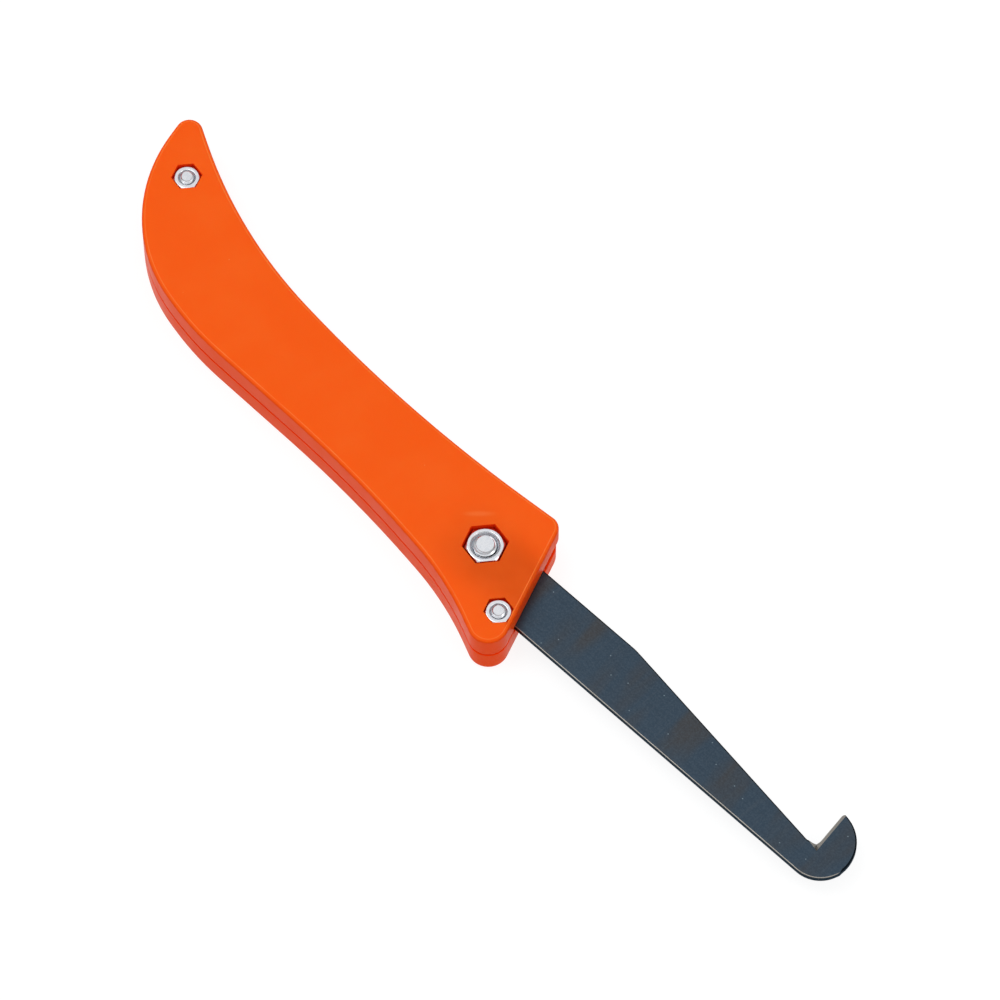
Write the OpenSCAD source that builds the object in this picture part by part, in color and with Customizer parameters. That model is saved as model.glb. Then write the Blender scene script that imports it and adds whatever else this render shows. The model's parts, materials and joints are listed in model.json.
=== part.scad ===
// Folding hook knife: a hooked steel blade that folds into a two-part moulded handle.
// Plan sizes are measured from the pivot axis. The knife lies on its screw side, with the nuts on top.
// The blade is drawn in its own frame, with its straight back edge along -Y, and then turned.

/* [Blade] */
// Pivot axis to the far end of the hook
blade_l = 107.1; // [85:0.1:130]
// Pivot axis to the straight back edge
blade_back = 8; // [6:0.1:10]
// Pivot axis to the front edge beside the pivot
blade_front = 6.15; // [5:0.05:7.5]
// Pivot axis to where the front edge starts to taper
taper_x = 39.4; // [30:0.1:50]
// Width of the neck, just before the hook
neck_w = 6.4; // [5:0.1:9]
// Sheet thickness
blade_t = 1.8; // [1.4:0.1:2.4]
// Angle of the open blade above the handle's long axis
open_tilt = 10.2; // [5:0.1:15]
// Angle that the blade turns through from open to folded
fold_angle = 171; // [168:0.5:173]

/* [Hook] */
// Back edge of the blade to the tip of the hook
hook_h = 16.75; // [13:0.05:21]
// Foot of the hook's inner edge to the far end
hook_w = 8.1; // [6.5:0.1:10]
// How far the tip leans back over the notch
tip_lean = 1; // [0:0.1:2]
// Height of the rounded shoulder's corner above the pivot axis
shoulder_y = 7.3; // [6.8:0.1:7.8]
// Radius at the foot of the notch
notch_r = 2.2; // [1:0.1:3]
// Radius from the back edge round to the far end
heel_r = 7.4; // [5:0.1:8]
// Radius from the far end round to the tip
nose_r = 9.3; // [7:0.1:10]
// Radius at the tip
tip_r = 0.5; // [0.3:0.1:0.8]
// Plan width of the ground edge
grind_w = 0.9; // [0.6:0.1:1.8]
// Thickness left at the ground edge
edge_land = 0.65; // [0.1:0.05:0.9]
// Extra angle of the grind where it runs out into the neck
grind_turn = 5.5; // [0:0.5:8]
// Length of the neck's edge that the grind turns from, before the notch's corner
grind_run = 1.5; // [0.5:0.1:3]

/* [Handle] */
// Thickness of the two halves together
handle_t = 13; // [11:0.1:17]
// Plastic between the slot and the belly below the pivot
pivot_wall = 3.3; // [2.5:0.1:6]
// Plastic between the end of the slot and the tail screw
tail_wall = 4.5; // [3:0.1:8]
// Pivot axis to the front's upper corner, along the handle
front_out = 5.8; // [4:0.1:8]
// Pivot axis to the front's upper corner, across the handle
front_top = 16.5; // [14:0.05:19]
// Lowest point of the tail's belly below the belly at the pivot
belly_drop = 9.45; // [7:0.05:12]
// Height of the tail's point above the pivot axis
tail_rise = 12.2; // [9:0.1:15]
// Pivot axis to the waist corner of the upper edge, along the handle
waist_x = 37; // [30:0.5:45]
// Pivot axis to the waist corner of the upper edge, across the handle
waist_top = 5.2; // [4.5:0.1:6.5]
// Height of the upper edge's lowest corner above the pivot axis
saddle_top = 1.15; // [0.5:0.05:2.5]
// Radius of the front's upper corner on the half with the nuts
front_r = 3.2; // [2:0.1:5]
// Radius of the front's upper corner on the half with the screw heads
back_front_r = 5.5; // [2:0.1:7]

/* [Screws and nuts] */
// Pivot screw diameter
pivot_d = 5; // [4:0.5:6]
// Pivot nut across flats
pivot_af = 8; // [7:0.1:10]
// Pivot nut thickness
pivot_nut_h = 4; // [3:0.1:4.2]
// Pivot screw head diameter
pivot_head_d = 9.5; // [8:0.1:11.5]
// Pivot screw head height
pivot_head_h = 2.7; // [2:0.1:2.8]
// Stop and tail screw diameter
pin_d = 3; // [2.5:0.5:3.5]
// Stop and tail nut across flats
pin_af = 5.5; // [5:0.1:6.6]
// Stop and tail nut thickness
pin_nut_h = 2.4; // [1.8:0.1:2.9]
// Stop and tail screw head diameter
pin_head_d = 5.6; // [5:0.1:6.8]
// Stop and tail screw head height
pin_head_h = 2.4; // [1.6:0.1:2.7]
// Depth of the seat under every screw head
head_seat = 2.9; // [2.9:0.1:3.4]
// Depth of the nuts' faces below the handle
nut_sink = 0.6; // [0.3:0.1:0.8]
// Depth of the screw ends below the handle
end_sink = 0.1; // [0:0.05:0.4]

/* [Fits] */
// Radial clearance of the blade on the pivot screw
pivot_fit = 0.05; // [0.02:0.01:0.1]
// Clearance of the screws in the handle, all round
hole_gap = 0.1; // [0.05:0.05:0.2]
// Clearance of the heads in their counterbores, all round
head_gap = 0.3; // [0.1:0.05:0.4]
// Clearance of the pivot nut in its pocket, at each flat
pivot_pocket_gap = 0.5; // [0.1:0.05:0.7]
// Clearance of the stop and tail nuts in their pockets, at each flat
pin_pocket_gap = 0.25; // [0.1:0.05:0.4]
// Least thickness of plastic left between a nut's pocket and the slot
pocket_floor = 0.5; // [0.3:0.1:0.8]
// Clearance beside each flat of the blade
side_gap = 0.1; // [0.05:0.05:0.2]
// Clearance between the blade's edges and the slot
slot_gap = 0.4; // [0.3:0.05:0.8]
// Clearance round the blade's rounded heel
tang_gap = 0.6; // [0.55:0.05:1]
// Clearance between the hook and the end of the slot
end_gap = 0.5; // [0.3:0.1:1]
// Gap between the open blade and the stop screw
stop_gap = 0.1; // [0.05:0.05:0.2]
// Depth of thread that a nut shares with its screw
thread_bite = 0.1; // [0.05:0.05:0.2]

/* [Hidden] */
// Where the pivot axis stands in the part's own frame, whose origin is mid-grip on the back face
pivot_at = [50, 6, 0];
// Distance along the blade to where the stop screw meets its back edge
stop_along = 13.2;
// A size larger than any plan size, for cuts that run right out
far = 160;
// Overrun of a cut through a face
over = 1;
// Overrun of a sloping cut, too small to change its size
hair = 0.01;
// Largest distance between a rounded corner's chords and its true arc
chord_error = 0.01;
half_t = handle_t / 2;
slot_t = blade_t + 2 * side_gap;
blade_z = half_t - blade_t / 2;
tang_r = blade_back;
slot_end_r = blade_l + end_gap;
stop_out = blade_back + stop_gap + pin_d / 2;
stop_at = [stop_along * cos(open_tilt) + stop_out * sin(open_tilt),
           stop_along * sin(open_tilt) - stop_out * cos(open_tilt)];
tail_x = slot_end_r + tail_wall + pin_d / 2;
tail_at = [-tail_x, 0];
belly_y = blade_back + tang_gap + pivot_wall;
screw_l = handle_t - head_seat - end_sink;
// Height of the floor on which a nut that is h thick sits, which stays clear of the slot
function pocket_z(h) = max(handle_t - nut_sink - h, half_t + slot_t / 2 + pocket_floor);
// Blade corners that more than one cut refers to
notch_at = [blade_l - hook_w, neck_w - blade_back];
tip_at = [notch_at[0] - tip_lean, hook_h - blade_back];
neck_angle = atan2(notch_at[1] - blade_front, notch_at[0] - taper_x);
inner_angle = atan2(tip_at[1] - notch_at[1], tip_at[0] - notch_at[0]);
grind_slope = atan2(blade_t - edge_land, grind_w);

// Corners of a handle half's outline, anticlockwise, each [x, y, radius]
function handle_corners(upper_r) = [
  [front_out, front_top, upper_r],                 // front, upper corner
  [-waist_x, waist_top, 360],                      // waist of the upper edge
  [18.6 - tail_x, saddle_top, 120],                // lowest stretch of the upper edge
  [-14.8 - tail_x, tail_rise, 3.1],                // point of the tail
  [-1.6 - tail_x, 1.35 - belly_y - belly_drop, 38.5],  // end of the tail, round to its belly
  [32.7 - tail_x, -belly_y - belly_drop, 77],      // belly of the tail
  [-31.4, -belly_y - 1.3, 320],                    // hollow of the grip's lower edge
  [1.3, -belly_y, 75],                             // belly under the pivot
  [stop_at[0] + 10.3, stop_at[1] - 10.5, 4.5]      // front, lower corner, round the stop screw
];
// Corners of the blade's outline in its own frame, anticlockwise, each [x, y, radius]
BLADE = [
  [-tang_r, -blade_back, tang_r],                  // heel inside the handle
  [blade_l, -blade_back, heel_r],                  // bend from the back edge to the far end
  [blade_l, shoulder_y, nose_r],                   // shoulder of the hook
  [tip_at[0], tip_at[1], tip_r],                   // tip of the hook
  [notch_at[0], notch_at[1], notch_r],             // foot of the notch
  [taper_x, blade_front, 12],                      // start of the front edge's taper
  [-tang_r, blade_front, blade_front]              // heel inside the handle
];

// ---- Outlines with rounded corners ----

function at(c, i) = c[(i + len(c)) % len(c)];
function xy(c, i) = [at(c, i)[0], at(c, i)[1]];
function side(c, i) = xy(c, i + 1) - xy(c, i);
function way(c, i) = side(c, i) / norm(side(c, i));
// Signed turn at a corner: positive where the outline bulges out
function turn(c, i) = atan2(cross(way(c, i - 1), way(c, i)), way(c, i - 1) * way(c, i));
// Length of side that a corner's rounding asks for
function asks(c, i) = at(c, i)[2] * tan(abs(turn(c, i)) / 2);
// Two roundings that ask for more than the side between them share it in proportion
function share(c, i) = min(1, 0.995 * norm(side(c, i)) / (asks(c, i) + asks(c, i + 1)));
function run(c, i) = asks(c, i) * min(share(c, i - 1), share(c, i));
function radius(c, i) = run(c, i) / tan(abs(turn(c, i)) / 2);
function arc_start(c, i) = xy(c, i) - run(c, i) * way(c, i - 1);
function arc_end(c, i) = xy(c, i) + run(c, i) * way(c, i);
function arc_centre(c, i) = arc_start(c, i)
  + sign(turn(c, i)) * radius(c, i) * [-way(c, i - 1)[1], way(c, i - 1)[0]];

// Chords that keep within chord_error of a corner's arc
function chords(c, i) = ceil(abs(turn(c, i)) / (2 * acos(1 - chord_error / radius(c, i))));
function spun(v, a) = [v[0] * cos(a) - v[1] * sin(a), v[0] * sin(a) + v[1] * cos(a)];
function arc(c, i) = [for (k = [0 : chords(c, i)])
  arc_centre(c, i) + spun(arc_start(c, i) - arc_centre(c, i), turn(c, i) * k / chords(c, i))];

module rounded(c) polygon([for (i = [0 : len(c) - 1]) each arc(c, i)]);

// ---- Fasteners, each with its head's top at z = 0 below the shank ----

// Six-sided nut with its corners chamfered and its bore countersunk
module nut(af, h, bore_d) {
  corner_r = af / 2 / cos(30);
  chamfer = af * 0.045;
  chamfer_h = chamfer * 1.1;
  face_r = corner_r - 2 * chamfer;
  // The countersink is limited by the nut's wall
  sink_d = bore_d + min(0.36 * bore_d, 0.6 * (af - bore_d));
  sink = (sink_d - bore_d) / 2;
  difference() {
    intersection() {
      cylinder(h, r = corner_r, $fn = 6);
      rotate_extrude($fn = 64) polygon([[0, 0], [face_r, 0], [corner_r + hair, chamfer_h],
        [corner_r + hair, h - chamfer_h], [face_r, h], [0, h]]);
    }
    translate([0, 0, -over]) cylinder(h + 2 * over, d = bore_d - 2 * thread_bite, $fn = 64);
    translate([0, 0, h - sink]) cylinder(sink + hair, d1 = bore_d, d2 = sink_d, $fn = 64);
    translate([0, 0, -hair]) cylinder(sink + hair, d1 = sink_d, d2 = bore_d, $fn = 64);
  }
}

// Pan head screw with a cross recess, its seat at z = 0 and its chamfered end at z = l
module screw(d, l, head_d, head_h) {
  end_chamfer = d * 0.11;
  crown = head_h * 0.3;
  slot_l = head_d * 0.5;
  slot_w = head_d * 0.11;
  slot_depth = head_h * 0.5;
  difference() {
    union() {
      cylinder(l - end_chamfer, d = d, $fn = 64);
      translate([0, 0, l - end_chamfer])
        cylinder(end_chamfer, d1 = d, d2 = d - 2 * end_chamfer, $fn = 64);
      translate([0, 0, crown - head_h]) cylinder(head_h - crown, d = head_d, $fn = 64);
      translate([0, 0, -head_h]) cylinder(crown, d1 = head_d - 3 * crown, d2 = head_d, $fn = 64);
    }
    for (a = [0, 90]) rotate(a)
      translate([-slot_l / 2, -slot_w / 2, -head_h - over]) cube([slot_l, slot_w, slot_depth + over]);
  }
}

// ---- Handle halves ----

// The room that the blade sweeps through between the halves
module slot_plan() {
  // In front, above the open blade's back edge
  rotate(open_tilt) translate([0, -blade_back - slot_gap]) square([far, far]);
  circle(tang_r + tang_gap, $fn = 96);
  // Behind, above the folded blade's front edge and round its hook
  intersection() {
    circle(slot_end_r, $fn = 256);
    rotate(open_tilt + fold_angle) translate([0, -far]) union() {
      square([far, far + blade_front + slot_gap]);
      translate([tip_at[0] - slot_gap - tip_r, 0]) square([far, far + tip_at[1] + slot_gap]);
    }
  }
}

// Holes right through for the three screws
module screw_holes() {
  translate([0, 0, -over]) cylinder(handle_t + 2 * over, d = pivot_d + 2 * hole_gap, $fn = 64);
  for (p = [stop_at, tail_at]) translate([p[0], p[1], -over])
    cylinder(handle_t + 2 * over, d = pin_d + 2 * hole_gap, $fn = 48);
}

// Pocket of a nut that is h thick, with its gap at each flat
module hex_pocket(af, h, gap) {
  corner_r = (af / 2 + gap) / cos(30);
  translate([0, 0, pocket_z(h)]) cylinder(handle_t + over - pocket_z(h), r = corner_r, $fn = 6);
}

module front_scale() color("#F25F18") place() difference() {
  translate([0, 0, half_t]) linear_extrude(half_t) rounded(handle_corners(front_r));
  translate([0, 0, half_t - over]) linear_extrude(slot_t / 2 + over) slot_plan();
  screw_holes();
  hex_pocket(pivot_af, pivot_nut_h, pivot_pocket_gap);
  for (p = [stop_at, tail_at]) translate(p) hex_pocket(pin_af, pin_nut_h, pin_pocket_gap);
}

module back_scale() color("#F25F18") place() difference() {
  linear_extrude(half_t) rounded(handle_corners(back_front_r));
  translate([0, 0, half_t - slot_t / 2]) linear_extrude(slot_t / 2 + over) slot_plan();
  screw_holes();
  translate([0, 0, -over]) cylinder(head_seat + over, d = pivot_head_d + 2 * head_gap, $fn = 64);
  for (p = [stop_at, tail_at]) translate([p[0], p[1], -over])
    cylinder(head_seat + over, d = pin_head_d + 2 * head_gap, $fn = 48);
}

// ---- Blade ----

// Everything above a plane through p that slopes down to the left of the given direction
module above_slope(p, direction) {
  translate([p[0], p[1], blade_t]) rotate(direction) rotate([-grind_slope, 0, 0])
    translate([-far, 0, 0]) cube([2 * far, far, far]);
}

module blade() color("#35485A") place() translate([0, 0, blade_z]) rotate(open_tilt) difference() {
  linear_extrude(blade_t) rounded(BLADE);
  translate([0, 0, -over]) cylinder(blade_t + 2 * over, d = pivot_d + 2 * pivot_fit, $fn = 64);
  intersection() {
    above_slope(notch_at + grind_w * [sin(inner_angle), -cos(inner_angle)], inner_angle);
    above_slope(notch_at - grind_run * [cos(neck_angle), sin(neck_angle)], neck_angle - grind_turn);
  }
}

// ---- Screws and nuts in place ----

module screw_at(p, d, head_d, head_h) color("#C8CCD0") place()
  translate([p[0], p[1], head_seat]) screw(d, screw_l, head_d, head_h);

module nut_at(p, af, h, d) color("#C8CCD0") place()
  translate([p[0], p[1], pocket_z(h)]) nut(af, h, d);

module place() translate(pivot_at) children();

module pivot_bolt() screw_at([0, 0], pivot_d, pivot_head_d, pivot_head_h);
module pivot_nut() nut_at([0, 0], pivot_af, pivot_nut_h, pivot_d);
module stop_screw() screw_at(stop_at, pin_d, pin_head_d, pin_head_h);
module stop_nut() nut_at(stop_at, pin_af, pin_nut_h, pin_d);
module tail_screw() screw_at(tail_at, pin_d, pin_head_d, pin_head_h);
module tail_nut() nut_at(tail_at, pin_af, pin_nut_h, pin_d);

front_scale();
back_scale();
blade();
pivot_bolt();
pivot_nut();
stop_screw();
stop_nut();
tail_screw();
tail_nut();
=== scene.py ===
# %% [markdown]
# # A folding hook knife in Blender
# The knife has two moulded orange handle halves, a blued steel blade with a hooked end, and three
# zinc-plated screws with hexagon nuts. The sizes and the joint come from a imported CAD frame, so every
# piece made here takes its place from that frame, and only the looks are made in Blender.

# %% Load the frame
import json
import math
import bmesh
import bpy
from mathutils import Matrix, Vector


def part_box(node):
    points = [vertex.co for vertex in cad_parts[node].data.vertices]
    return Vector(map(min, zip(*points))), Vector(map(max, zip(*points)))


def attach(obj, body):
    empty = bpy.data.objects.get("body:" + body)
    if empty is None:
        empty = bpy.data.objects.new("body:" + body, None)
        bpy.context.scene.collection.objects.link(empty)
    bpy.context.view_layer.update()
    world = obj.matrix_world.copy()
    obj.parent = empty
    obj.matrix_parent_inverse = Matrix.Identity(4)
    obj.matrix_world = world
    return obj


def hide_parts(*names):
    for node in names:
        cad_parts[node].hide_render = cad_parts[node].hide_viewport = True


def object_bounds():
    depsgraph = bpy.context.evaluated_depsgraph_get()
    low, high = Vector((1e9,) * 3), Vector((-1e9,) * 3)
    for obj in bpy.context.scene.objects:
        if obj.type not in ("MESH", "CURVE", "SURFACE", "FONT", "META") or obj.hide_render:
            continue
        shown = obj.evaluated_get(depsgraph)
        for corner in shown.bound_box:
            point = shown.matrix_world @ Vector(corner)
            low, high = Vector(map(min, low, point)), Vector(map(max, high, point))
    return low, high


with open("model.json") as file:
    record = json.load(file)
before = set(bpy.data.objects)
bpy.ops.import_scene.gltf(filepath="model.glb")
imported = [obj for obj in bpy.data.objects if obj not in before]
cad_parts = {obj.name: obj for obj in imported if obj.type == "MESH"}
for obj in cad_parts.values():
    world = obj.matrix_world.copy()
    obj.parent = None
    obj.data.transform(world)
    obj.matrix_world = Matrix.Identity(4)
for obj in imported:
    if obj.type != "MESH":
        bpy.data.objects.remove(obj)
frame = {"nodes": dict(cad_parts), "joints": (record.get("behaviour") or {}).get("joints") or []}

cad_low, cad_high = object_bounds()
print("CAD box in metres:", tuple(cad_low), tuple(cad_high))

# %% [markdown]
# ## Measures
# The real knife lies on its screw side, with the nuts on top. The pivot's place is the hinge's place in
# the frame, and heights come from the boxes of the CAD nodes. Working in metres with a name for the
# millimetre keeps each size readable.

# %% Measures
MM = 0.001
hinge = frame["joints"][0]
pivot = Vector(hinge["pos_m"])
back_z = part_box("back_scale")[0].z
seam_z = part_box("front_scale")[0].z
face_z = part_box("front_scale")[1].z
blade_low_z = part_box("blade")[0].z
blade_top_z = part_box("blade")[1].z
SLOT_GAP = 0.1 * MM
OPEN_TILT = math.radians(10.2)
MERGE = 0.001 * MM
FINE_MERGE = 0.0005 * MM


def centre_of(node):
    """The middle of a CAD node's box."""
    low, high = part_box(node)
    return (low + high) / 2


print("pivot at", tuple(pivot), "seam at", round(seam_z / MM, 2), "mm")

# %% [markdown]
# ## Camera
# The knife is seen from well above, through a long lens, so that its parallel edges stay almost
# parallel. The camera is placed by its turn and its height around a point close to the pivot. It
# stands far away, which keeps the perspective flat.

# %% Camera
CAMERA_TURN = math.radians(54)
CAMERA_RISE = math.radians(63)
CAMERA_DISTANCE = 1.512
LENS_MM = 248.4
SENSOR_MM = 36
LOOK_FROM_PIVOT = Vector((-9.4, 10.8, 0)) * MM

look_at = pivot + LOOK_FROM_PIVOT
towards_camera = Vector((math.sin(CAMERA_TURN) * math.cos(CAMERA_RISE),
                         -math.cos(CAMERA_TURN) * math.cos(CAMERA_RISE),
                         math.sin(CAMERA_RISE)))
camera = bpy.data.objects.new("camera", bpy.data.cameras.new("camera"))
camera.data.lens = LENS_MM
camera.data.sensor_width = SENSOR_MM
camera.location = look_at + towards_camera * CAMERA_DISTANCE
camera.rotation_euler = (-towards_camera).to_track_quat("-Z", "Y").to_euler()
bpy.context.collection.objects.link(camera)
bpy.context.scene.camera = camera
bpy.context.scene.view_settings.view_transform = "Standard"
print("camera", round(camera.location.length, 3), "m from the origin")

# %% [markdown]
# ## Colours and nodes
# A colour picked on a screen is in sRGB, and a shader wants linear light, so one function turns a hex
# value into linear numbers. Another adds one node with its settings and its links, which keeps each
# material below as short as a recipe.

# %% Colours and nodes
FACTOR, COLOR_A, COLOR_B = 0, 6, 7
MIXED = 2


def colour(hex_value):
    """Linear red, green, blue and alpha of an sRGB hex value."""
    parts = [int(hex_value[i:i + 2], 16) / 255 for i in (1, 3, 5)]
    return [p / 12.92 if p <= 0.04045 else ((p + 0.055) / 1.055) ** 2.4 for p in parts] + [1]


def per(size_mm):
    """Pattern scale on coordinates in metres that gives features of a size in millimetres."""
    return 1 / (size_mm * MM)


def add(tree, kind, inputs=None, **settings):
    """Adds a node: settings are its properties, inputs are values or sockets to link."""
    node = tree.nodes.new(kind)
    for name, value in settings.items():
        setattr(node, name, value)
    for key, value in (inputs or {}).items():
        if isinstance(value, bpy.types.NodeSocket):
            tree.links.new(value, node.inputs[key])
        else:
            node.inputs[key].default_value = value
    return node


def new_material(name):
    """An empty node material, with its tree, shader and object coordinates."""
    material = bpy.data.materials.new(name)
    material.use_nodes = True
    tree = material.node_tree
    tree.nodes.clear()
    shader = add(tree, "ShaderNodeBsdfPrincipled")
    add(tree, "ShaderNodeOutputMaterial", {"Surface": shader.outputs[0]})
    coordinates = add(tree, "ShaderNodeTexCoord").outputs["Object"]
    return material, tree, shader, coordinates


def mixed(tree, factor, first, second):
    """Output of a node that mixes two colours by a factor."""
    inputs = {FACTOR: factor, COLOR_A: first, COLOR_B: second}
    return add(tree, "ShaderNodeMix", inputs, data_type="RGBA").outputs[MIXED]


def ramp(tree, value, start, end, low=0.0, high=1.0):
    """Output that goes smoothly from low to high while a value goes from start to end."""
    inputs = {"Value": value, "From Min": start, "From Max": end, "To Min": low, "To Max": high}
    return add(tree, "ShaderNodeMapRange", inputs, interpolation_type="SMOOTHSTEP").outputs[0]


def product(tree, first, second):
    """Output of one value times another."""
    return add(tree, "ShaderNodeMath", {0: first, 1: second}, operation="MULTIPLY").outputs[0]


print("node helpers ready")

# %% [markdown]
# ## Floor and studio light
# The knife lies on a white acrylic sheet that is lit from below, so shadows and coloured bounce on it
# stay faint. Above it hangs a tent of white cloth that is bright at the top and
# dim near the floor. A gradient in the world stands for the tent: it lights level faces fully, leaves
# upright walls darker, and gives the metal something bright to mirror. Two soft boxes add direction.

# %% Floor
FLOOR_HALF_WIDTH = 4
floor_z = cad_low.z - 0.05 * MM

floor_bm = bmesh.new()
bmesh.ops.create_grid(floor_bm, x_segments=1, y_segments=1, size=FLOOR_HALF_WIDTH)
bmesh.ops.translate(floor_bm, verts=floor_bm.verts, vec=(0, 0, floor_z))
floor = bpy.data.objects.new("floor", bpy.data.meshes.new("floor"))
floor_bm.to_mesh(floor.data)
floor_bm.free()
bpy.context.collection.objects.link(floor)

acrylic, _, acrylic_shader, _ = new_material("lit_white_acrylic")
acrylic_shader.inputs["Base Color"].default_value = colour("#7C7C7C")
acrylic_shader.inputs["Roughness"].default_value = 0.9
acrylic_shader.inputs["Specular IOR Level"].default_value = 0.05
acrylic_shader.inputs["Emission Color"].default_value = colour("#FFFFFF")
acrylic_shader.inputs["Emission Strength"].default_value = 0.86
floor.data.materials.append(acrylic)
print("floor at", round(floor_z / MM, 2), "mm")

# %% Studio light
HORIZON_LIGHT = 0.28
ZENITH_LIGHT = 0.95


def soft_box(name, direction, distance, size, power):
    """A square area light that shines on the knife from a direction."""
    light = bpy.data.lights.new(name, "AREA")
    light.size = size
    light.energy = power
    box = bpy.data.objects.new(name, light)
    direction = Vector(direction).normalized()
    box.location = look_at + direction * distance
    box.rotation_euler = direction.to_track_quat("Z", "Y").to_euler()
    bpy.context.collection.objects.link(box)


soft_box("overhead_box", (-0.30, -0.25, 0.92), 1.3, 0.7, 3.4)
soft_box("right_box", (0.62, 0.30, 0.72), 1.3, 0.5, 1.2)

world = bpy.data.worlds.new("studio_tent")
world.use_nodes = True
tent = world.node_tree
upwards = add(tent, "ShaderNodeSeparateXYZ", {
    "Vector": add(tent, "ShaderNodeTexCoord").outputs["Generated"]}).outputs["Z"]
brightness = ramp(tent, upwards, 0.0, 1.0, HORIZON_LIGHT, ZENITH_LIGHT)
tent.links.new(brightness, tent.nodes["Background"].inputs["Strength"])
tent.nodes["Background"].inputs["Color"].default_value = colour("#FCFDFF")
bpy.context.scene.world = world

# %% [markdown]
# ## Orange moulded plastic
# The halves are injection-moulded polypropylene, dyed orange and slightly translucent. The mould
# leaves an even skin with a soft gloss, and light goes a few millimetres in. A little subsurface light
# gives the glow at thin edges. The dark blade underneath dulls the plastic over the pivot; that shade is
# painted, by a mask laid out in the blade's own direction. A faint sink mark by the pivot's pocket is
# drawn as colour only, a paler painted sheen, since it is too shallow to need a shape.

# %% Orange moulded plastic
PAINTED_POCKET_GLOW = "deep"
PAINTED_SEAM_SHADE = "seam_shade"
PAINTED_RIM_HIGHLIGHT = "rim_highlight"
SINK_FROM_PIVOT = Vector((-6.7, 3.2, 0)) * MM
SINK_SIZE = (4.8 * MM, 0.9 * MM, 1)
SINK_TURN = math.radians(54)


def moulded_plastic():
    """Translucent orange polypropylene with a soft gloss."""
    material, tree, shader, place = new_material("moulded_orange_plastic")
    # The second colour is painted shade for the plastic over the blade's tang; the third is paler dye
    body, painted_tang_shade, pale = colour("#FC5E16"), colour("#D65012"), colour("#FF6C24")

    # Painted shade over the blade's tang: x runs along the open blade from the pivot, y across it
    tang = add(tree, "ShaderNodeMapping", {"Vector": place, "Location": pivot,
                                           "Rotation": (0, 0, OPEN_TILT)}, vector_type="TEXTURE")
    axes = add(tree, "ShaderNodeSeparateXYZ", {"Vector": tang.outputs[0]}).outputs
    along = ramp(tree, axes["X"], -13 * MM, 2 * MM)
    low_side = ramp(tree, axes["Y"], -13 * MM, -4 * MM)
    high_side = ramp(tree, axes["Y"], 10 * MM, 1 * MM)
    over_tang = product(tree, product(tree, along, low_side), high_side)

    # The dye is slightly uneven where the melt flowed
    flow = add(tree, "ShaderNodeTexNoise", {"Vector": place, "Scale": per(14), "Detail": 3.0})
    flow_mask = ramp(tree, flow.outputs[0], 0.35, 0.75, 0.0, 0.30)
    # Painted shade over the blade's tang, then the uneven dye
    base = mixed(tree, product(tree, over_tang, 0.85), body, painted_tang_shade)
    base = mixed(tree, flow_mask, base, pale)
    # Tiny trapped specks
    grit = add(tree, "ShaderNodeTexVoronoi", {"Vector": place, "Scale": per(4.5)})
    speck = ramp(tree, grit.outputs["Distance"], 0.045, 0.025, 0.0, 0.6)
    base = mixed(tree, speck, base, colour("#FF9050"))
    # A faint paler patch lies behind the pivot's pocket, where the wall is thick: painted sheen in place of a
    # shallow sink mark
    sink = add(tree, "ShaderNodeMapping", {"Vector": place, "Location": pivot + SINK_FROM_PIVOT,
                                           "Rotation": (0, 0, SINK_TURN), "Scale": SINK_SIZE},
               vector_type="TEXTURE").outputs[0]
    reach = add(tree, "ShaderNodeVectorMath", {0: sink}, operation="LENGTH").outputs["Value"]
    base = mixed(tree, ramp(tree, reach, 1.0, 0.2, 0.0, 0.3), base, colour("#FF8A4C"))
    # Upright walls get a darker, redder colour by their normal: painted shade
    up = add(tree, "ShaderNodeSeparateXYZ", {
        "Vector": add(tree, "ShaderNodeNewGeometry").outputs["Normal"]}).outputs["Z"]
    steep = add(tree, "ShaderNodeMath", {0: up}, operation="ABSOLUTE").outputs[0]
    base = mixed(tree, ramp(tree, steep, 0.95, 0.25), base, colour("#E64600"))
    # Painted glow: short upright walls, such as the pockets', get a redder colour for light passing through
    # the plastic
    deep = add(tree, "ShaderNodeAttribute", attribute_name=PAINTED_POCKET_GLOW).outputs["Fac"]
    base = mixed(tree, deep, base, colour("#FF3200"))
    # Painted shade in the seam groove between the halves
    seam_shade = add(tree, "ShaderNodeAttribute", attribute_name=PAINTED_SEAM_SHADE).outputs["Fac"]
    base = mixed(tree, seam_shade, base, colour("#F03C00"))
    # Painted highlight where the rim's round begins, broken up by the flow noise
    rim_highlight = add(tree, "ShaderNodeAttribute", attribute_name=PAINTED_RIM_HIGHLIGHT).outputs["Fac"]
    base = mixed(tree, product(tree, rim_highlight, ramp(tree, flow.outputs[0], 0.3, 0.6, 0.3, 0.7)), base,
                 colour("#FF8440"))
    tree.links.new(base, shader.inputs["Base Color"])

    gloss = add(tree, "ShaderNodeTexNoise", {"Vector": place, "Scale": per(5), "Detail": 2.0})
    tree.links.new(ramp(tree, gloss.outputs[0], 0.3, 0.7, 0.30, 0.38), shader.inputs["Roughness"])
    skin = add(tree, "ShaderNodeTexNoise", {"Vector": place, "Scale": per(2.5), "Detail": 2.0})
    bump = add(tree, "ShaderNodeBump", {"Height": skin.outputs[0], "Strength": 0.25,
                                        "Distance": 0.02 * MM})
    tree.links.new(bump.outputs[0], shader.inputs["Normal"])

    shader.inputs["IOR"].default_value = 1.49
    shader.inputs["Specular IOR Level"].default_value = 0.03
    shader.inputs["Subsurface Weight"].default_value = 0.25
    shader.inputs["Subsurface Radius"].default_value = (1.0, 0.15, 0.02)
    shader.inputs["Subsurface Scale"].default_value = 1.2 * MM
    return material


orange_plastic = moulded_plastic()
print("material", orange_plastic.name)

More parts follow.
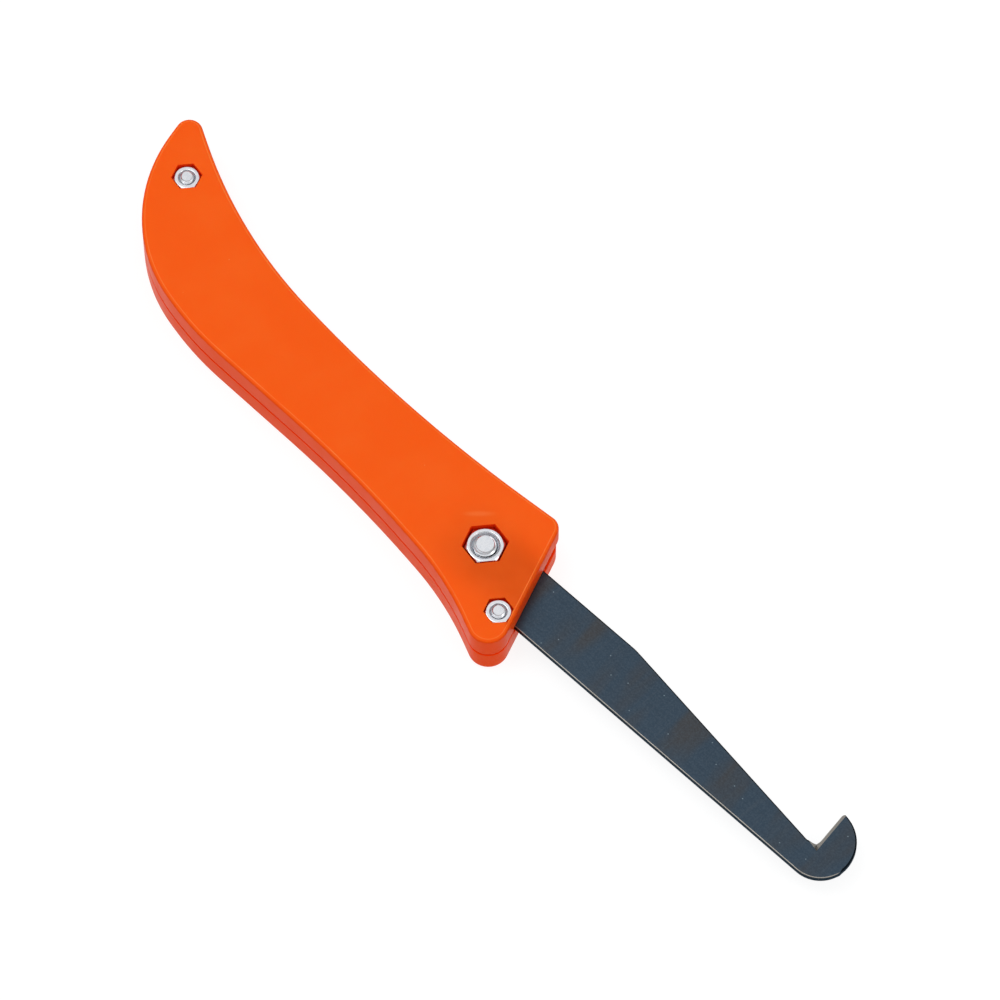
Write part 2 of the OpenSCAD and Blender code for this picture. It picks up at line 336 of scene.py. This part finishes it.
# %% [markdown]
# ## Blued spring steel
# The blade is cold-rolled spring steel, heated until it grew a thin blue oxide. The oxide is darker
# than bare steel and keeps the fine lines of the rolling, with broad brownish bands where the strip
# was a little hotter. Where the hook is ground, the bare grey metal shows; the same pale colour is
# painted as a highlight on the rounded back edges, and near-black painted shade lies on the walls and
# front edges. Named attributes on the mesh say where these are.

# %% Blued spring steel
BARE_AND_HIGHLIGHT = "bare_and_highlight"
SHADE = "shade"


def blued_steel():
    """Blue-black tempered spring steel, pale where it is ground or carries a painted highlight, near-black
    where painted shade lies.
    """
    material, tree, shader, place = new_material("blued_spring_steel")
    blade_place = add(tree, "ShaderNodeMapping", {"Vector": place, "Location": pivot,
                                                  "Rotation": (0, 0, OPEN_TILT)},
                      vector_type="TEXTURE").outputs[0]
    # Broad temper bands that cross the blade on a slant
    slant = add(tree, "ShaderNodeMapping", {"Vector": blade_place, "Rotation": (0, 0, math.radians(28)),
                                            "Scale": (1.0, 0.25, 1.0)}).outputs[0]
    bands = add(tree, "ShaderNodeTexNoise", {"Vector": slant, "Scale": per(11), "Detail": 3.0,
                                             "Roughness": 0.55}).outputs[0]
    oxide = mixed(tree, ramp(tree, bands, 0.42, 0.66), colour("#3A4855"), colour("#444547"))
    # Rolling lines, drawn coarser than real so that they show
    rolled = add(tree, "ShaderNodeMapping", {"Vector": blade_place, "Scale": (0.05, 1.0, 1.0)}).outputs[0]
    lines = add(tree, "ShaderNodeTexNoise", {"Vector": rolled, "Scale": per(0.35), "Detail": 4.0,
                                             "Roughness": 0.65}).outputs[0]
    oxide = mixed(tree, ramp(tree, lines, 0.3, 0.8, 0.0, 0.16), oxide, colour("#252D36"))
    # Fine mottling of the oxide, and faint grinding marks that run across the strip
    mottle = add(tree, "ShaderNodeTexNoise", {"Vector": blade_place, "Scale": per(0.4),
                                              "Detail": 3.0}).outputs[0]
    oxide = mixed(tree, ramp(tree, mottle, 0.35, 0.75, 0.0, 0.22), oxide, colour("#5A6670"))
    across = add(tree, "ShaderNodeMapping", {"Vector": blade_place, "Scale": (1.0, 0.06, 1.0),
                                             "Rotation": (0, 0, math.radians(22))}).outputs[0]
    marks = add(tree, "ShaderNodeTexNoise", {"Vector": across, "Scale": per(0.9), "Detail": 2.0}).outputs[0]
    oxide = mixed(tree, ramp(tree, marks, 0.55, 0.75, 0.0, 0.25), oxide, colour("#50575E"))
    # Pin-head rubs where the oxide is off
    rubs = add(tree, "ShaderNodeTexVoronoi", {"Vector": blade_place, "Scale": per(8)},
               voronoi_dimensions="2D").outputs["Distance"]
    oxide = mixed(tree, ramp(tree, rubs, 0.022, 0.010, 0.0, 0.6), oxide, colour("#8FA0A8"))

    bare_and_highlight = add(tree, "ShaderNodeAttribute", attribute_name=BARE_AND_HIGHLIGHT).outputs["Fac"]
    shade = add(tree, "ShaderNodeAttribute", attribute_name=SHADE).outputs["Fac"]
    # Pale metal where the hook is ground, and the same colour as a painted highlight on the back edges
    base = mixed(tree, bare_and_highlight, oxide, colour("#9A958D"))
    # Near-black painted shade on the walls and the front edges
    base = mixed(tree, shade, base, colour("#0E1114"))
    tree.links.new(base, shader.inputs["Base Color"])

    rough = ramp(tree, lines, 0.25, 0.75, 0.34, 0.46)
    tree.links.new(rough, shader.inputs["Roughness"])
    bump = add(tree, "ShaderNodeBump", {"Height": lines, "Strength": 0.12, "Distance": 0.01 * MM})
    tree.links.new(bump.outputs[0], shader.inputs["Normal"])
    shader.inputs["Metallic"].default_value = 1.0
    shader.inputs["Specular Tint"].default_value = colour("#B4BAC0")
    return material


blade_steel = blued_steel()
print("material", blade_steel.name)

# %% [markdown]
# ## Zinc-plated steel
# Hardware-store screws and nuts are plated with bright zinc: a pale, faintly blue metal whose thin
# coat blurs reflections. Fine blotches in the roughness keep it from looking like chrome.

# %% Zinc-plated steel
def zinc_plate():
    """Bright zinc on steel, a little cloudy."""
    material, tree, shader, place = new_material("zinc_plated_steel")
    cloud = add(tree, "ShaderNodeTexNoise", {"Vector": place, "Scale": per(0.9), "Detail": 3.0}).outputs[0]
    base = mixed(tree, ramp(tree, cloud, 0.35, 0.7), colour("#E6E7E9"), colour("#D8DBE0"))
    tree.links.new(base, shader.inputs["Base Color"])
    tree.links.new(ramp(tree, cloud, 0.3, 0.7, 0.18, 0.28), shader.inputs["Roughness"])
    shader.inputs["Metallic"].default_value = 1.0
    return material


bright_zinc = zinc_plate()
print("material", bright_zinc.name)

# %% [markdown]
# ## Working on copies of the CAD pieces
# The CAD meshes have the right shape but knife-sharp edges and loose triangles. Each piece shown here
# starts as a merged copy, with its flat faces made whole again, so that the bevel operator can round
# the edges that the mould or the press rounds on the real thing. The CAD node itself stays untouched
# and is only hidden.

# %% Helpers for the pieces
SMOOTH_LIMIT = math.radians(32)
LEVEL = 0.99
UPRIGHT = 0.02
TOUCH = 0.01 * MM
OUTER_WALL = 5 * MM


def cad_copy(node):
    """A bmesh of a CAD node with its doubles merged and its flat faces whole."""
    bm = bmesh.new()
    bm.from_mesh(frame["nodes"][node].data)
    bmesh.ops.remove_doubles(bm, verts=bm.verts, dist=MERGE)
    bmesh.ops.dissolve_limit(bm, angle_limit=math.radians(0.1), verts=bm.verts, edges=bm.edges)
    return bm


def height(face):
    """How far a face reaches up."""
    levels = [v.co.z for v in face.verts]
    return max(levels) - min(levels)


def rim(bm, z, low=0.0, high=1.0):
    """Edges at height z between a level face and an upright one from low to high metres tall."""
    found = []
    for edge in bm.edges:
        if len(edge.link_faces) != 2 or any(abs(v.co.z - z) > TOUCH for v in edge.verts):
            continue
        level, upright = sorted(edge.link_faces, key=lambda f: -abs(f.normal.z))
        if abs(level.normal.z) > LEVEL and abs(upright.normal.z) < UPRIGHT:
            if low <= height(upright) <= high:
                found.append(edge)
    return found


def round_edges(bm, edges, radius, steps):
    """Rounds edges off with a bevel and returns the new faces."""
    made = bmesh.ops.bevel(bm, geom=edges, offset=radius, offset_type="OFFSET", segments=steps,
                           profile=0.5, affect="EDGES", clamp_overlap=False, material=-1,
                           loop_slide=False)
    return made["faces"]


def shown_piece(bm, name, node, body, material):
    """Turns a bmesh into a smooth-shaded piece that stands for a CAD node and rides its body."""
    bmesh.ops.recalc_face_normals(bm, faces=bm.faces)
    mesh = bpy.data.meshes.new(name)
    bm.to_mesh(mesh)
    bm.free()
    if "custom_normal" in mesh.attributes:
        mesh.attributes.remove(mesh.attributes["custom_normal"])
    mesh.materials.append(material)
    for face in mesh.polygons:
        face.use_smooth = True
        face.material_index = 0
    mesh.set_sharp_from_angle(angle=SMOOTH_LIMIT)
    piece = bpy.data.objects.new(name, mesh)
    bpy.context.collection.objects.link(piece)
    weighted = piece.modifiers.new("flat faces stay flat", "WEIGHTED_NORMAL")
    weighted.keep_sharp = True
    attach(piece, body)
    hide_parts(node)
    print(name, "has", len(mesh.polygons), "faces")
    return piece


# %% [markdown]
# ## Level faces
# A bevel slides its new corners along the edges inside a level face, and a long thin triangle there
# folds over. So the level faces are taken out while their rim is rounded, and are filled in again
# from their new outline afterwards.

# %% Level faces
def level_faces(bm, z):
    """The faces that lie flat at height z."""
    return [f for f in bm.faces if all(abs(v.co.z - z) < TOUCH for v in f.verts)]


def fill_level(bm, z):
    """Makes the level faces at height z anew from their outline, holes included."""
    bmesh.ops.delete(bm, geom=level_faces(bm, z), context="FACES")
    outline = [edge for edge in bm.edges if edge.is_boundary]
    bmesh.ops.triangle_fill(bm, edges=outline, use_beauty=True, use_dissolve=False, normal=(0, 0, 1))
    bmesh.ops.recalc_face_normals(bm, faces=bm.faces)
    bm.normal_update()


def round_outer_rim(bm, z, upwards, radius, steps):
    """Rounds the rim of the level faces at z, with one plain lid in their place meanwhile."""
    outer = rim(bm, z, low=OUTER_WALL)
    bmesh.ops.delete(bm, geom=level_faces(bm, z), context="FACES")
    lid = bmesh.ops.contextual_create(bm, geom=outer)["faces"][0]
    lid.normal_update()
    if lid.normal.z * upwards < 0:
        lid.normal_flip()
    round_edges(bm, [edge for edge in outer if edge.is_valid], radius, steps)
    fill_level(bm, z)


print("level faces are filled anew after each bevel")

# %% [markdown]
# ## Handle halves
# Each half is one moulding. The mould gives it a generous round on the outer rim, a small round where
# the two halves meet, which shows as the seam groove, and a slight round at each pocket and
# counterbore. The edges of each group are picked out by the height of their wall. Light is painted into
# the colour in three places: a redder painted glow on the pockets' walls, painted shade in the seam
# groove, and a paler painted highlight where the rim begins. Values stored on the faces say where each of
# these is.

# %% Handle halves
RIM_ROUND = 0.85 * MM
SEAM_ROUND = 0.5 * MM
POCKET_ROUND = 0.12 * MM
POCKET_LIP_GLOW = 0.3
RIM_START = (0.98, 0.995)
MOUTH_EDGE = (0.5 * MM, 1.5 * MM)


def mouth_ends(bm):
    """The short upright edges where the blade's slot runs out through the outer wall."""
    found = []
    for edge in bm.edges:
        low, high = sorted(v.co.z for v in edge.verts)
        if len(edge.link_faces) != 2 or not MOUTH_EDGE[0] <= high - low <= MOUTH_EDGE[1]:
            continue
        short, tall = sorted(edge.link_faces, key=height)
        if abs(short.normal.z) < UPRIGHT and height(short) < MOUTH_EDGE[1] and height(tall) > OUTER_WALL:
            found.append(edge)
    return found


def handle_half(node, name, outer_z, slot_z):
    """One half of the handle, its outer face at outer_z and its slot's floor at slot_z."""
    bm = cad_copy(node)
    # Short upright walls, such as the pockets' walls, take the painted glow
    deep = bm.faces.layers.float.new(PAINTED_POCKET_GLOW)
    for face in bm.faces:
        if abs(face.normal.z) < UPRIGHT and height(face) < OUTER_WALL:
            face[deep] = 1.0
    seam_shade = bm.faces.layers.float.new(PAINTED_SEAM_SHADE)
    rim_highlight = bm.faces.layers.float.new(PAINTED_RIM_HIGHLIGHT)
    round_outer_rim(bm, outer_z, outer_z - seam_z, RIM_ROUND, 6)
    # Where the rim's round begins, a painted highlight
    for face in bm.faces:
        if RIM_START[0] < abs(face.normal.z) < RIM_START[1]:
            face[rim_highlight] = 1.0
    # The pocket lips take a weaker painted glow
    for face in round_edges(bm, rim(bm, outer_z, high=OUTER_WALL), POCKET_ROUND, 2):
        face[deep] = POCKET_LIP_GLOW
    fill_level(bm, outer_z)
    inner = rim(bm, seam_z, low=OUTER_WALL - RIM_ROUND) + rim(bm, slot_z, low=OUTER_WALL - RIM_ROUND)
    # The seam's rounds take painted shade
    for face in round_edges(bm, inner + mouth_ends(bm), SEAM_ROUND, 3):
        face[seam_shade] = 1.0
    for z in (seam_z, slot_z):
        fill_level(bm, z)
    facing_out = sum(f.calc_area() * abs(f.normal.z) for f in bm.faces if f.normal.z * (outer_z - seam_z) > 0)
    print(name, "shows", round(facing_out / MM ** 2), "square mm from outside")
    shown_piece(bm, name, node, "handle", orange_plastic)


handle_half("front_scale", "front_handle_half", face_z, blade_top_z + SLOT_GAP)
handle_half("back_scale", "back_handle_half", back_z, blade_low_z - SLOT_GAP)

# %% [markdown]
# ## Blade
# The blade is pressed from strip, which leaves a small round on its top edges, and its hook is ground
# to an edge on a wheel. The ground faces slope, so they are found by their normals, and take the pale
# metal colour. The rounded strip along the back edge gets the same pale colour as a painted highlight.
# The front edges are rounded more and get near-black painted shade, as do the upright walls. Each gets
# its colour from a value stored on the mesh.

# %% Blade
PRESS_ROUND = 0.18 * MM
FRONT_ROUND = 0.35 * MM
WALL_SHADE = 0.6
FACES_BACK = 0.3
BACKWARDS = Vector((math.sin(OPEN_TILT), -math.cos(OPEN_TILT), 0))


def faces_back(edge):
    """Whether an edge of the rim belongs to the blade's straight back or its hook's heel."""
    upright = min(edge.link_faces, key=lambda f: abs(f.normal.z))
    return upright.normal @ BACKWARDS > FACES_BACK


def hook_blade():
    """The hooked blade with rounded top edges, its ground facets, a painted highlight on its back edges and
    painted shade on its walls and front edges.
    """
    bm = cad_copy("blade")
    bare_and_highlight = bm.faces.layers.float.new(BARE_AND_HIGHLIGHT)
    shade = bm.faces.layers.float.new(SHADE)
    for face in bm.faces:
        if UPRIGHT < abs(face.normal.z) < LEVEL:
            face[bare_and_highlight] = 1.0
        elif abs(face.normal.z) < UPRIGHT:
            # Upright walls get near-black painted shade
            face[shade] = WALL_SHADE
    full_wall = (blade_top_z - blade_low_z) * 0.95
    for z in (blade_top_z, blade_low_z):
        edges = rim(bm, z, low=full_wall - FRONT_ROUND)
        back, front = ([e for e in edges if faces_back(e) == side] for side in (True, False))
        # The back edges' rounds get the pale colour as a painted highlight
        for face in round_edges(bm, back, PRESS_ROUND, 2):
            face[bare_and_highlight], face[shade] = 0.9, 0.0
        # The front edges' rounds get near-black painted shade
        for face in round_edges(bm, [e for e in front if e.is_valid], FRONT_ROUND, 2):
            face[bare_and_highlight], face[shade] = 0.0, 0.95
    shown_piece(bm, "hooked_blade", "blade", "blade", blade_steel)


hook_blade()

# %% [markdown]
# ## Nuts
# A hexagon nut is pressed and then turned, so its six corners are cut back by a cone and its hole is
# countersunk. The CAD nut already has both cuts. A hair-thin bevel on its sharp edges gives the edge
# highlights that tell the eye that it is metal.

# %% Nuts
NUT_ROUND = 0.07 * MM


def hex_nut(node, name):
    """A chamfered hexagon nut with fine rounded edges."""
    bm = cad_copy(node)
    sharp = [e for e in bm.edges if len(e.link_faces) == 2 and e.calc_face_angle(0) > math.radians(25)]
    round_edges(bm, sharp, NUT_ROUND, 2)
    shown_piece(bm, name, node, "handle", bright_zinc)


for node in ("pivot_nut", "stop_nut", "tail_nut"):
    hex_nut(node, node.replace("nut", "hex_nut"))

# %% [markdown]
# ## Screws
# These are fully threaded machine screws with pan heads. A helix comes from spinning one pitch of the
# thread's profile while it climbs, which is what the thread-cutting die does. Planes trim it to length,
# the end is cut back to a cone, and the head is another spun profile, joined on by bridging. Two
# tapered bars cut the cross recess.

# %% Screws
SPIN_STEPS = 40
THREAD_DEPTH = 0.61
TURNED_END = 0.78
# Shank diameter, pitch and head height of each screw, in millimetres
SCREWS = {"pivot_bolt": (5.0, 0.8, 2.7), "stop_screw": (3.0, 0.5, 2.4), "tail_screw": (3.0, 0.5, 2.4)}


def spun_profile(bm, points, turns=1.0, climb=0.0):
    """Spins a chain of (radius, height) points about the vertical axis, climbing by climb each turn."""
    verts = [bm.verts.new((r, 0, z)) for r, z in points]
    edges = [bm.edges.new(pair) for pair in zip(verts, verts[1:])]
    steps = round(SPIN_STEPS * turns)
    bmesh.ops.spin(bm, geom=verts + edges, cent=(0, 0, 0), axis=(0, 0, 1), angle=math.tau * turns,
                   dvec=(0, 0, climb / SPIN_STEPS), steps=steps, use_merge=climb == 0)


def open_loop(bm, z):
    """The open edges at height z."""
    return [e for e in bm.edges if e.is_boundary and all(abs(v.co.z - z) < TOUCH for v in e.verts)]


def threaded_end(bm, radius, pitch, low, high):
    """A helical thread between two heights, its far end cut back to a cone."""
    depth = THREAD_DEPTH * pitch
    root, crest = radius - depth, radius
    tooth = [(root, 0), (root, 0.125), (root + depth / 2, 0.28), (crest, 0.4375), (crest, 0.5625),
             (root + depth / 2, 0.72), (root, 0.875), (root, 1)]
    turns = math.ceil((high - low) / pitch) + 2
    start = low - pitch
    spun_profile(bm, [(r, start + step * pitch) for r, step in tooth], turns, pitch)
    bmesh.ops.remove_doubles(bm, verts=bm.verts, dist=FINE_MERGE)
    for z, outwards in ((low, -1), (high, 1)):
        bmesh.ops.bisect_plane(bm, geom=bm.verts[:] + bm.edges[:] + bm.faces[:], dist=0.0001 * MM,
                               plane_co=(0, 0, z), plane_no=(0, 0, outwards), clear_outer=True)
    end_radius = radius * TURNED_END
    for vert in bm.verts:
        reach = math.hypot(vert.co.x, vert.co.y)
        allowed = end_radius + max(0.0, high - vert.co.z)
        if reach > allowed:
            vert.co.x *= allowed / reach
            vert.co.y *= allowed / reach
    bmesh.ops.remove_doubles(bm, verts=bm.verts, dist=FINE_MERGE)


def machine_screw(node, name):
    """A pan head machine screw in the place of a CAD screw."""
    diameter, pitch, head_height = (size * MM for size in SCREWS[node])
    low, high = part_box(node)
    axis = centre_of(node)
    head_radius = (high.x - low.x) / 2
    seat = low.z + head_height
    neck = seat + pitch * 0.6
    bm = bmesh.new()
    threaded_end(bm, diameter / 2, pitch, neck, high.z)
    bmesh.ops.edgeloop_fill(bm, edges=open_loop(bm, high.z))
    crown = head_height * 0.38
    arc = [(head_radius * (0.62 + 0.38 * math.sin(a)), low.z + crown * (1 - math.cos(a)))
           for a in (math.radians(15 * step) for step in range(7))]
    neck_radius = diameter / 2 * 0.94
    spun_profile(bm, [(0, low.z)] + arc + [(head_radius, seat - 0.1 * MM), (head_radius - 0.1 * MM, seat),
                                           (diameter / 2, seat), (neck_radius, neck)])
    bmesh.ops.remove_doubles(bm, verts=bm.verts, dist=FINE_MERGE)
    bmesh.ops.bridge_loops(bm, edges=open_loop(bm, neck))
    bmesh.ops.translate(bm, verts=bm.verts, vec=(axis.x, axis.y, 0))
    piece = shown_piece(bm, name, node, "handle", bright_zinc)
    cut_cross(piece, axis, low.z, head_radius, head_height)


def cut_cross(piece, axis, head_z, head_radius, head_height):
    """Cuts a tapered cross recess into a screw's head."""
    long_side, width, depth = head_radius * 1.04, head_radius * 0.24, head_height * 0.55
    cutters = []
    for turn in (0, math.pi / 2):
        bm = bmesh.new()
        bmesh.ops.create_cube(bm, size=1)
        bmesh.ops.scale(bm, verts=bm.verts, vec=(long_side, width, 2 * depth))
        deep = [v for v in bm.verts if v.co.z > 0]
        bmesh.ops.scale(bm, verts=deep, vec=(0.5, 0.6, 1))
        bmesh.ops.rotate(bm, verts=bm.verts, matrix=Matrix.Rotation(turn, 3, "Z"))
        bmesh.ops.translate(bm, verts=bm.verts, vec=(axis.x, axis.y, head_z))
        cutter = bpy.data.objects.new("cutter", bpy.data.meshes.new("cutter"))
        bm.to_mesh(cutter.data)
        bm.free()
        bpy.context.collection.objects.link(cutter)
        cut = piece.modifiers.new("cross", "BOOLEAN")
        cut.operation = "DIFFERENCE"
        cut.solver = "EXACT"
        cut.object = cutter
        piece.modifiers.move(len(piece.modifiers) - 1, 0)
        cutters.append(cutter)
    weighted = piece.modifiers[-1]
    weighted.show_viewport = False
    shape = bpy.data.meshes.new_from_object(piece.evaluated_get(bpy.context.evaluated_depsgraph_get()))
    weighted.show_viewport = True
    for modifier in [m for m in piece.modifiers if m.type == "BOOLEAN"]:
        piece.modifiers.remove(modifier)
    for cutter in cutters:
        bpy.data.objects.remove(cutter)
    piece.data = shape
    piece.data.set_sharp_from_angle(angle=SMOOTH_LIMIT)


for node in SCREWS:
    machine_screw(node, node + "_threaded")
